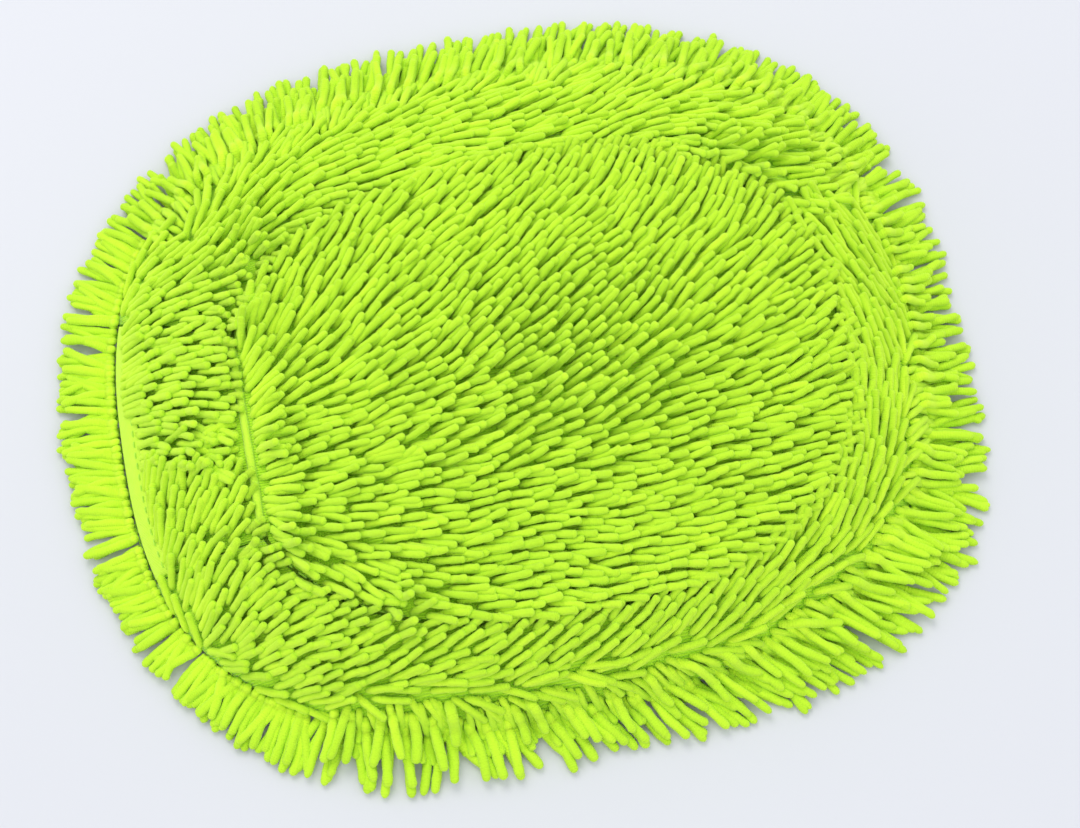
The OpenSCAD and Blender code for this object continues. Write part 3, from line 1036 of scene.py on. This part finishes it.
def on_gusset(at):
    return off_gusset(at[:, 0], at[:, 1], np.full(len(at), CLOTH_T))[:, :2]


def off_tape(at):
    """The roots that leave the wrist hem's tape bare, most of all in its near half."""
    covered = smooth(on_gusset(at)[:, 1], -2 * MM, 18 * MM)
    return at[at[:, 1] > mix(HEM_LAP - 0.03, 0.10, covered)]


def band_bundle(at, rng):
    """Noodles of the side band. The ones that point over the face seam are shorter."""
    plan = on_gusset(at)
    stray, loose = wander(plan, rng, 62)
    nap = turned(gusset_nap(at, plan), stray)
    over = smooth(1.05 - face_share(*(plan + nap * NOODLE_L).T), 0, 0.12)
    return pile(plan, nap, rng, loose, length=NOODLE_L * (1 - 0.45 * over), rise=35)


def wrist_bundle(at, rng):
    """Noodles of the wrist flap. Their tips stay on its side of the hinge. In its near half the
    ones beside the hinge point back to the hem."""
    plan = on_gusset(at)
    stray, loose = wander(plan, rng, 63)
    nap = turned(gusset_nap(at, plan), stray)
    back = (at[:, 1] > 0.80) & (plan[:, 1] < -3 * MM) & (plan[:, 1] > -24 * MM)
    away = math.radians(190) + rng.normal(0, 0.3, len(at))
    nap = np.where(back[:, None], np.column_stack([np.cos(away), np.sin(away)]), nap)
    edge = np.clip((np.abs(at[:, 0] - math.pi) - FLAP_HALF + 0.06) / 0.06, 0, 1)
    nap[:, 1] += 0.35 * edge * np.sign(plan[:, 1] - SLUMP[1]) * ~back
    nap = unit(nap)
    stop = HINGE_X - mix(2.6 * MM, 1.8 * MM, smooth(plan[:, 1], 0, 8 * MM))
    room = (stop - plan[:, 0]) / np.maximum(nap[:, 0], 0.15)
    length = np.where(nap[:, 0] > 0.15, np.clip(room + 1.5 * MM, 6 * MM, NOODLE_L), 0.8 * NOODLE_L)
    return pile(plan, nap, rng, loose * (at[:, 1] < 0.6), length=length, rise=30)


def everywhere(start, end, low, high, columns, rows):
    """Angles and shares of places all over a panel."""
    angle, s = np.meshgrid(np.linspace(start, end, columns), np.linspace(low, high, rows), indexing="ij")
    return np.column_stack([angle.ravel(), s.ravel()])


def extra(bundle, at, rng):
    """More noodles at the places on the gusset where its cloth still shows."""
    plan = on_gusset(at)
    return bundle(at[bare(plan, gusset_nap(at, plan), rng)], rng)


# Where the fringe is longer or shorter: middle and spread in degrees, and by how many millimetres.
FRINGE_GROWTH = [
    (-53, 26, 6.0), (-33, 12, 2.0), (-98, 16, -0.5), (-121, 13, 2.5), (-152, 20, -3.5), (146, 20, -2.5),
    (42, 16, -2.5), (2, 18, -2.0),
]


def bell(angle, middle, spread):
    """1 at a middle given in degrees, and less to both sides of it."""
    return np.exp(-((angle - math.radians(middle)) / math.radians(spread)) ** 2)


def fringe_bundles(rng):
    """Rows of noodles along the hem. They leave it outwards and sink to the table. At the mouth,
    and where the band's noodles point the other way, all of them grow from the back panel's edge.
    The toe is left out of that."""
    # How far out and how high a row's roots are in millimetres, its angles from the ground at the
    # root and further on, and the share of its places that are taken.
    rows = [
        (1.5, 2.0, 2, -2, 0.95), (0.8, 3.6, 10, -8, 0.9),
        (-2.2, 1.0, 42, -6, 0.75), (-4.6, 0.2, 60, 0, 0.6),
    ]
    at_mouth = [(1.7, 1.8, 1, -1), (1.5, 2.2, 3, -3), (1.3, 2.6, 6, -6), (1.1, 3.0, 9, -9)]
    dense = np.linspace(-math.pi, math.pi, 2000)
    walk = np.concatenate([[0], np.cumsum(np.linalg.norm(np.diff(hem_line(dense), axis=0), axis=1))])
    count = int(walk[-1] / FRINGE_PITCH)
    for number, (out, height, rise, lie, share) in enumerate(rows):
        place = np.arange(count)
        at = (place + 0.5 * (number % 2) + rng.normal(0, 0.16, count)) % count
        angle = np.interp(at / count * walk[-1], walk, dense)
        apart = bell(angle, -106, 26)
        skipped = (place % 2 == number % 2) & (rng.uniform(0, 1, count) < apart)
        kept = (rng.uniform(0, 1, count) < share * (1 - 0.2 * number * apart)) & ~skipped
        angle, apart = angle[kept], apart[kept]
        start = hem_line(angle)
        against = -(brushed(start, BAND_BRUSHED) * outward(angle)).sum(1)
        against = smooth(against, 0.1, 0.5) * smooth(0.6 - np.cos(angle), 0, 0.4)
        mouth = np.maximum(smooth(np.abs(np.abs(angle) - math.pi), 0.5, 0.36), against)
        row_out, row_high, row_rise, row_lie = (
            mix(here, there, mouth) for here, there in zip((out, height, rise, lie), at_mouth[number]))
        ragged = number * rng.uniform(-0.5, 0.5, len(angle)) * (1 - mouth)
        root = hem_line(angle, (row_out + ragged) * MM)
        stray = rng.normal(0, math.radians(9), len(angle))
        stray += math.radians(5) * ripple(*root.T, 24 * MM, 64)
        shorter = 0.4 * smooth(np.sin(angle), 0.2, 0.9) + 0.9 * number * (1 - mouth)
        length = FRINGE_L - shorter * MM
        for middle, spread, more in FRINGE_GROWTH:
            length = length + more * MM * bell(angle, middle, spread)
        yield lay(root, turned(outward(angle), stray), rng, length * rng.normal(1, 0.045, len(angle)),
                  row_rise, row_lie, ease=0.45, bend=0.16, wide=FRINGE_WIDE + 0.18 * apart, taper=0.12,
                  above=row_high * MM, under=2 * MM * number * (1 - 0.6 * mouth))


def part(bundle, test):
    """The noodles of a bundle whose roots' x and y pass a test."""
    root = bundle["lines"][:, 0]
    kept = test(root[:, 0], root[:, 1])
    return {name: values[kept] for name, values in bundle.items()}


def all_noodles():
    """Grows the rows of each panel, then fills what they leave bare."""
    rng = np.random.default_rng(101)
    ease = math.radians(0.7)
    band_ends, wrist_ends = (-BAND_HALF + ease, BAND_HALF - ease), (FLAP_FROM + ease, FLAP_TO - ease)
    face = face_bundle(face_roots(rng), rng)
    band = band_bundle(gusset_roots(*band_ends, 0.02, 0.965, rng), rng)
    wrist = wrist_bundle(off_tape(gusset_roots(*wrist_ends, 0.10, 0.93, rng)), rng)
    fringe = list(fringe_bundles(rng))

    at = face_line(*everywhere(0, 2 * math.pi, 0.05, FACE_EDGE, 500, 80).T)
    more_face = face_bundle(at[bare(at, brushed(at, FACE_BRUSHED), rng)], rng)
    more_band = extra(band_bundle, everywhere(*band_ends, 0.0, 0.95, 700, 40), rng)
    more_wrist = extra(wrist_bundle, off_tape(everywhere(*wrist_ends, 0.08, 0.94, 90, 40)), rng)

    toe = 62 * MM
    for name, node, bundles, test in (
            ("face_noodles_near", "face_pile", (face, more_face), lambda x, y: y < SLUMP[1]),
            ("face_noodles_far", "face_pile", (face, more_face), lambda x, y: y >= SLUMP[1]),
            ("band_noodles_near", "side_band_pile", (band, more_band), lambda x, y: (y < 0) & (x < toe)),
            ("band_noodles_toe", "side_band_pile", (band, more_band), lambda x, y: x >= toe),
            ("band_noodles_far", "side_band_pile", (band, more_band), lambda x, y: (y >= 0) & (x < toe))):
        grow(name, "mitt_body", node, *(part(bundle, test) for bundle in bundles))
    grow("wrist_noodles", "wrist_flap", "wrist_panel_pile", wrist, more_wrist)
    for number, row in enumerate(fringe):
        grow(f"fringe_noodles_{number + 1}", "mitt_body", "hem_fringe", row)


all_noodles()


# ---- studio ----

def table_top():
    floor = add_skin("table_top", [(-4, -4, 0), (4, -4, 0), (4, 4, 0), (-4, 4, 0)], [(0, 1, 2, 3)])
    paint = Finish("table_paint", 0.9)
    paint.colour(paint.noise(0.4, 2), (0.3, (0.615, 0.610, 0.628)), (0.7, (0.630, 0.625, 0.643)))
    floor.data.materials.append(paint.mat)


def aimed(name, data, place, ahead):
    """An object of the studio at a place, looking ahead."""
    obj = bpy.data.objects.new(name, data)
    obj.location = place
    obj.rotation_euler = ahead.to_track_quat("-Z", "Y").to_euler()
    bpy.context.scene.collection.objects.link(obj)
    return obj


def lamp(name, place, aim, size, power, colour):
    data = bpy.data.lights.new(name, "AREA")
    data.shape = "DISK"
    data.size = size
    data.energy = power
    data.color = colour
    aimed(name, data, place, Vector(aim) - Vector(place))


def surroundings():
    world = bpy.data.worlds.new("studio")
    bpy.context.scene.world = world
    world.use_nodes = True
    back_light = world.node_tree.nodes["Background"]
    back_light.inputs["Color"].default_value = (0.90, 0.94, 1.0, 1)
    back_light.inputs["Strength"].default_value = 1.215


def camera():
    """Looks down at the mitt from its near side, a little from the wrist end."""
    height, turn, far = math.radians(72), math.radians(11.5), 0.685
    aim = Vector((0.005, -0.013, 0))
    level = math.cos(height)
    back_off = Vector((-math.sin(turn) * level, -math.cos(turn) * level, math.sin(height)))
    data = bpy.data.cameras.new("camera")
    data.sensor_width = 36
    data.lens = 66.7
    data.clip_start = 0.01
    bpy.context.scene.camera = aimed("camera", data, aim + back_off * far, -back_off)


table_top()
surroundings()
lamp("key", (-0.15, 0.7, 1.25), (0, 0, 0), 0.8, 6.5, (1.0, 0.99, 0.97))
camera()
bpy.context.scene.view_settings.view_transform = "Standard"
